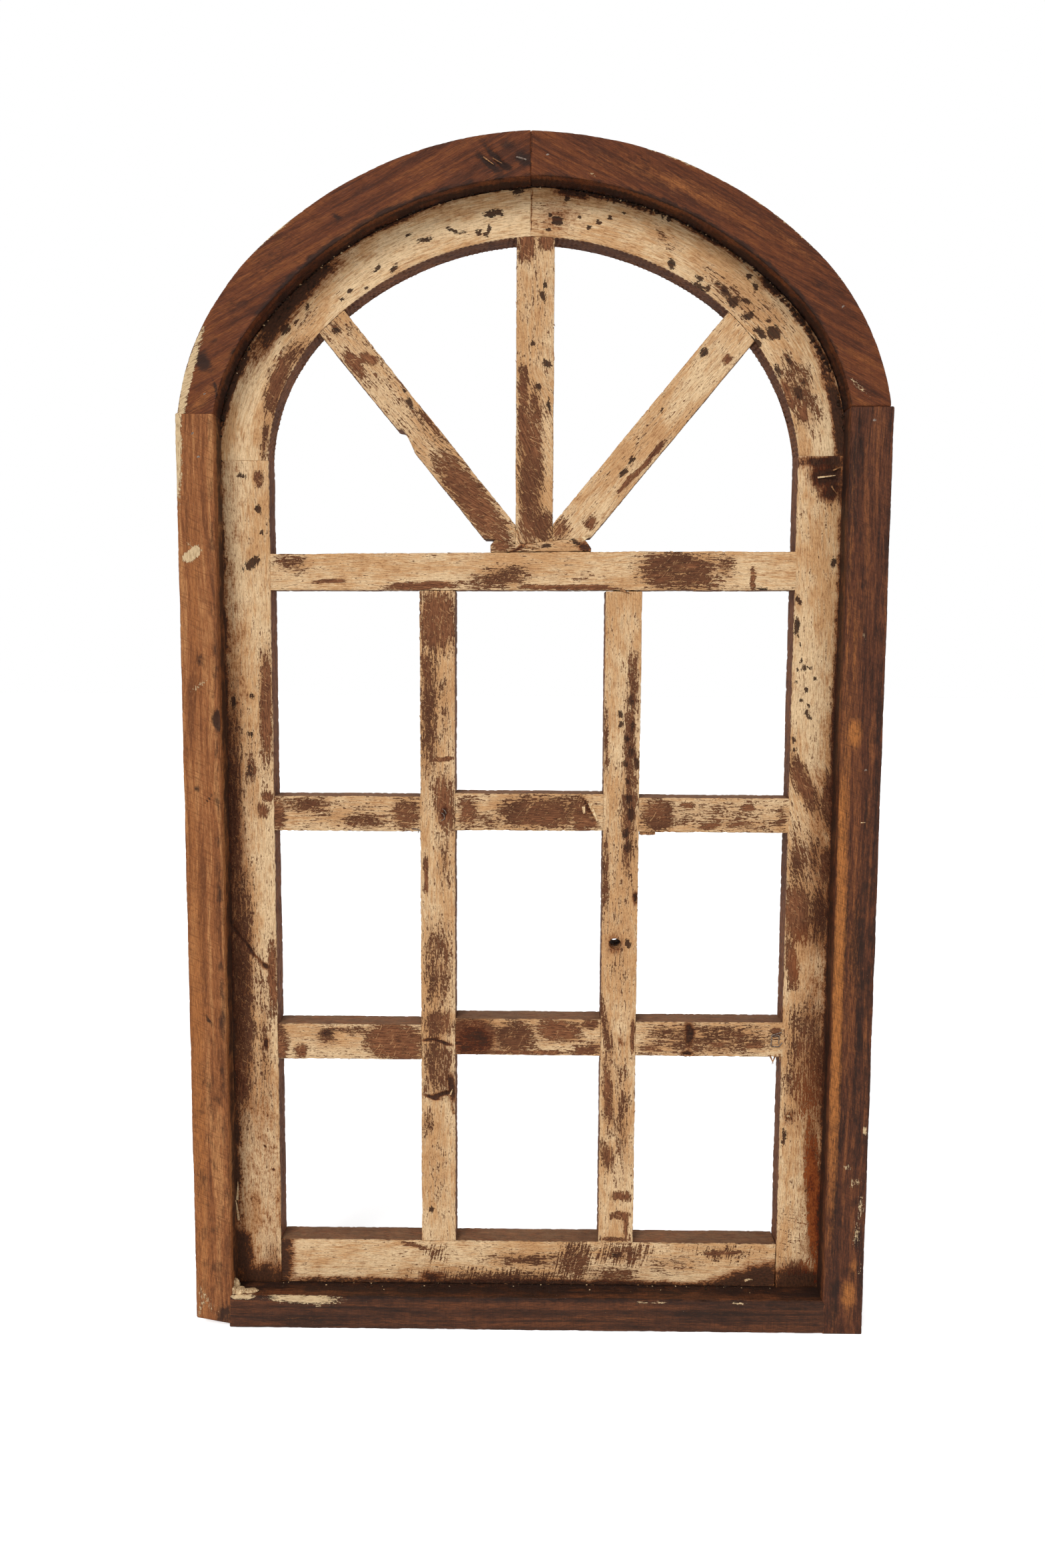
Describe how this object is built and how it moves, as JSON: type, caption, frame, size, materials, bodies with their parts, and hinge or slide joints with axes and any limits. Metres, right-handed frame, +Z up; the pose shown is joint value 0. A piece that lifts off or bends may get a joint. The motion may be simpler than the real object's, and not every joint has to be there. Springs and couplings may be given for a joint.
{
  "type": "arched farmhouse window frame",
  "caption": "Arched wooden farmhouse window: a brown stained outer frame round a chipped cream painted sash with glazing bars and a radiating fan light, unglazed.",
  "frame": {"origin": "on the floor below the middle of the frame's width and depth", "axes": "+Z up; the decorated front faces -Y; +X to the right seen from the front"},
  "size_m": [0.56, 0.049, 0.9632],
  "materials": {
    "stained_outer_wood": "dark red-brown stain, rubbed and dirty, open grain",
    "dark_outer_wood": "near-black weathered stain with orange grain showing",
    "painted_sash_wood": "cream paint, brushed on and chipped back to brown wood"
  },
  "bodies": {
    "root": {"outer_jamb_left": "stained_outer_wood", "outer_jamb_right": "dark_outer_wood", "outer_sill": "dark_outer_wood", "outer_arch_left": "stained_outer_wood", "outer_arch_right": "stained_outer_wood", "stile_left": "painted_sash_wood", "stile_right": "painted_sash_wood", "bottom_rail": "painted_sash_wood", "transom": "painted_sash_wood", "sash_arch_left": "painted_sash_wood", "sash_arch_right": "painted_sash_wood", "muntin_left": "painted_sash_wood", "muntin_right": "painted_sash_wood", "bar_lower_left": "painted_sash_wood", "bar_lower_middle": "painted_sash_wood", "bar_lower_right": "painted_sash_wood", "bar_upper_left": "painted_sash_wood", "bar_upper_middle": "painted_sash_wood", "bar_upper_right": "painted_sash_wood", "fan_bar_left": "painted_sash_wood", "fan_bar_centre": "painted_sash_wood", "fan_bar_right": "painted_sash_wood", "fan_packer": "painted_sash_wood"}
  },
  "joints": []
}
